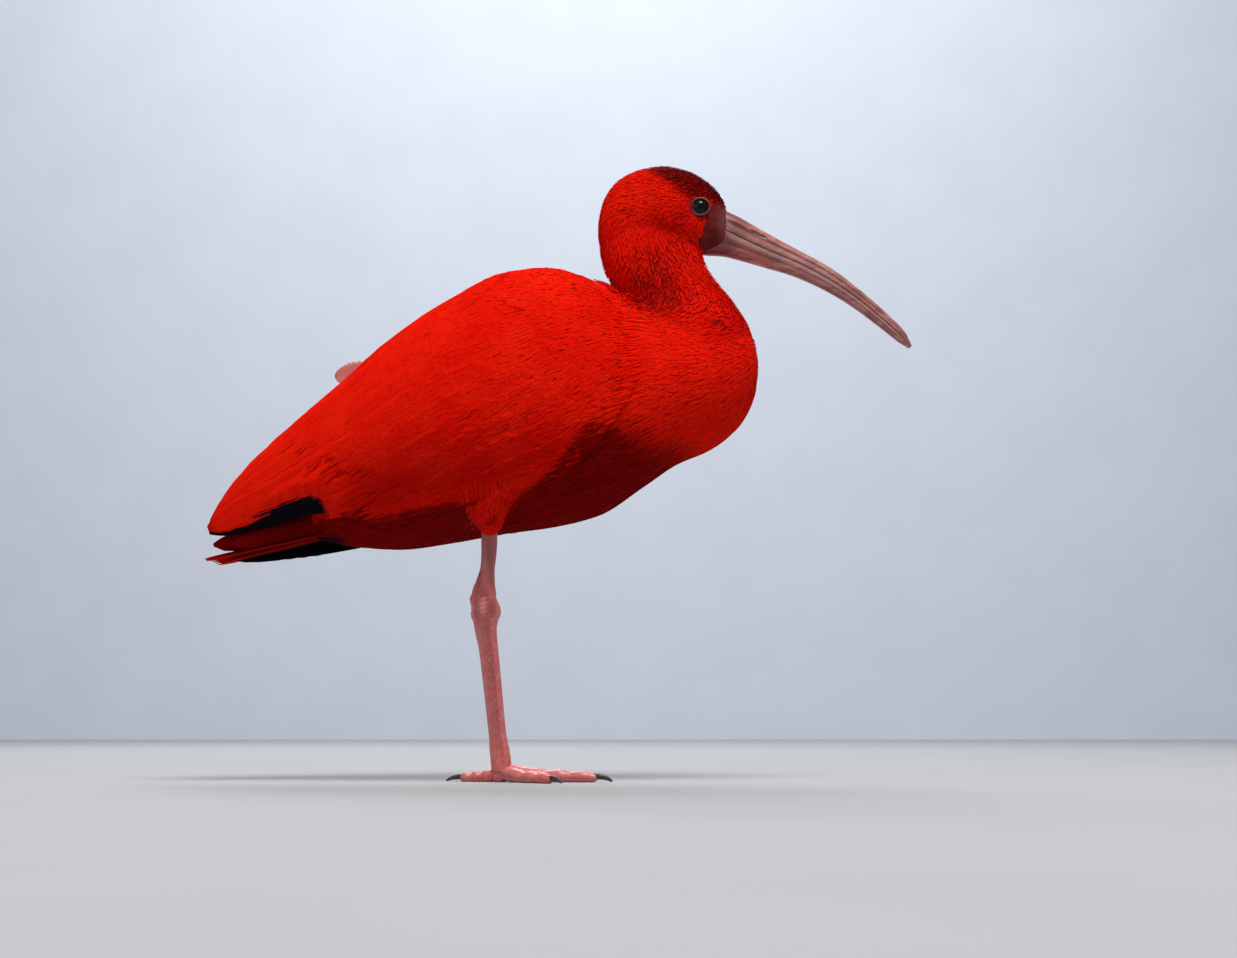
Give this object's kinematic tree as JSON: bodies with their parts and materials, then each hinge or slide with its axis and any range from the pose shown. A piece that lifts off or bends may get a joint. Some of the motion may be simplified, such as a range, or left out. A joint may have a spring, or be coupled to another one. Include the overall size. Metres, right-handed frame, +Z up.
{
  "type": "bird",
  "caption": "Life-size still model of a scarlet ibis resting on one leg, its long bill curved down and the other leg drawn up under the belly.",
  "frame": {"origin": "on the floor, at the middle of the standing foot's sole, under the right tarsus", "axes": "+X towards the bill, +Y towards the bird's left, +Z up"},
  "size_m": [0.4472, 0.1376, 0.3915],
  "materials": {
    "body_feathers": "matte",
    "flight_feathers": "satin",
    "head": "matte",
    "bill": "satin",
    "leg": "satin",
    "claw": "satin",
    "eye": "gloss"
  },
  "bodies": {
    "root": {"bill_lower": "bill", "bill_upper": "bill", "breast": "body_feathers", "claw_left_hind": "claw", "claw_left_inner": "claw", "claw_left_middle": "claw", "claw_left_outer": "claw", "claw_right_hind": "claw", "claw_right_inner": "claw", "claw_right_middle": "claw", "claw_right_outer": "claw", "eye_left": "eye", "eye_right": "eye", "head": "head", "neck": "body_feathers", "shank_left": "leg", "shank_right": "leg", "tail": "flight_feathers", "tarsus_left": "leg", "tarsus_right": "leg", "thigh_left": "body_feathers", "thigh_right": "body_feathers", "toe_left_hind": "leg", "toe_left_inner": "leg", "toe_left_middle": "leg", "toe_left_outer": "leg", "toe_right_hind": "leg", "toe_right_inner": "leg", "toe_right_middle": "leg", "toe_right_outer": "leg", "torso": "body_feathers", "wing_left": "flight_feathers", "wing_right": "flight_feathers"}
  },
  "joints": []
}
